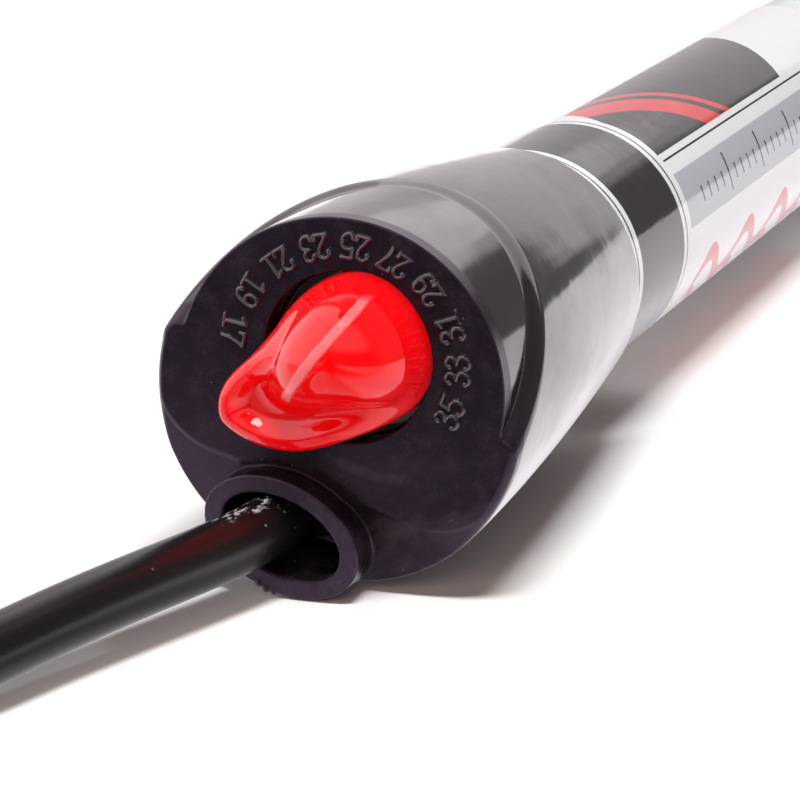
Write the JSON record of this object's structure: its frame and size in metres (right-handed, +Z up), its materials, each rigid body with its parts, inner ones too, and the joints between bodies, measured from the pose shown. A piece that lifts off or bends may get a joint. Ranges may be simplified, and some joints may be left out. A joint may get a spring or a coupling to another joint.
{
  "type": "submersible aquarium heater",
  "caption": "Glass-tube submersible heater with a moulded cap, a turning temperature dial, an inner thermostat and heating winding, and a folded mains cord with a flat plug.",
  "frame": {"origin": "on the surface it lies on, under the middle of the heater without its cord", "axes": "+Y from the cap's face along the tube to its closed end, +Z up from the surface"},
  "size_m": [0.0571, 0.548, 0.0413],
  "materials": {
    "cap_plastic": "satin moulded plastic, near black with a violet tinge",
    "red_plastic": "glossy moulded plastic, clean red",
    "steel": "satin steel",
    "seal_rubber": "soft black rubber",
    "glass": "clear borosilicate glass",
    "label_film": "glossy printed film",
    "phenolic": "brown phenolic board",
    "brass": "satin brass",
    "bimetal": "rolled bimetal strip",
    "contact_silver": "polished silver contact",
    "ferrite": "ground magnet",
    "capacitor_blue": "moulded capacitor case",
    "neon_glass": "small glass lamp",
    "resistor_body": "lacquered resistor",
    "wire_brown": "brown wire insulation",
    "wire_blue": "blue wire insulation",
    "white_plastic": "off-white moulded plastic",
    "mica": "pressed mica sheet",
    "ceramic": "unglazed white ceramic",
    "heating_wire": "dark oxidised resistance wire",
    "cord_rubber": "satin black cord sheath",
    "plug_plastic": "satin black moulded plug",
    "pin_metal": "nickel-plated brass pins"
  },
  "bodies": {
    "heater": {"cap": "cap_plastic", "shaft_o_rings": "seal_rubber", "cord_seal": "seal_rubber", "cord_end": "cord_rubber", "cord_clamp": "white_plastic", "tube_seal": "seal_rubber", "carrier_disc": "white_plastic", "glass_tube": "glass", "label_sleeve": "label_film", "thermostat_frame": "phenolic", "screw_bracket": "steel", "anchor_tab": "steel", "insulator_block": "phenolic", "pressure_arm": "brass", "fixed_contact": "contact_silver", "stack_rivets": "steel", "magnet": "ferrite", "capacitor": "capacitor_blue", "neon_lamp": "neon_glass", "resistor": "resistor_body", "live_wire": "wire_brown", "neutral_wire": "wire_blue", "mica_discs": "mica", "support_rings": "mica", "ceramic_core": "ceramic", "heating_winding": "heating_wire", "winding_clamps": "brass", "feed_rod": "steel", "return_rod": "steel", "cord": "cord_rubber", "cord_hank": "cord_rubber", "cord_tail": "cord_rubber", "cord_tie": "seal_rubber", "plug_body": "plug_plastic", "plug_strain_relief": "plug_plastic", "plug_pins": "pin_metal", "plug_pin_sleeves": "plug_plastic"},
    "dial": {"dial_knob": "red_plastic", "dial_shaft": "steel", "shaft_clip": "steel"},
    "screw": {"adjusting_screw": "brass"},
    "contact_arm": {"bimetal_strip": "bimetal", "moving_contact": "contact_silver"}
  },
  "joints": [
    {"name": "dial_turn", "type": "hinge", "parent": "heater", "child": "dial", "pos_m": [0.00109, -0.16393, 0.023], "axis": [0, 0.9998, -0.0183], "range_deg": [0, 245]},
    {"name": "screw_advance", "type": "slide", "parent": "dial", "child": "screw", "axis": [0, 0.9998, -0.0183], "range_m": [0, 0.0005]},
    {"name": "contact_arm_bend", "type": "hinge", "parent": "heater", "child": "contact_arm", "pos_m": [-0.00084, -0.08197, 0.0144], "axis": [0.965, -0.0048, -0.2621], "range_deg": [0, 1.5], "stiffness_Nm_per_rad": 0.01, "springref_deg": -2.86}
  ],
  "couplings": [
    {"joint": "screw_advance", "follows": "dial_turn", "m_per_rad": 0.00011141}
  ]
}
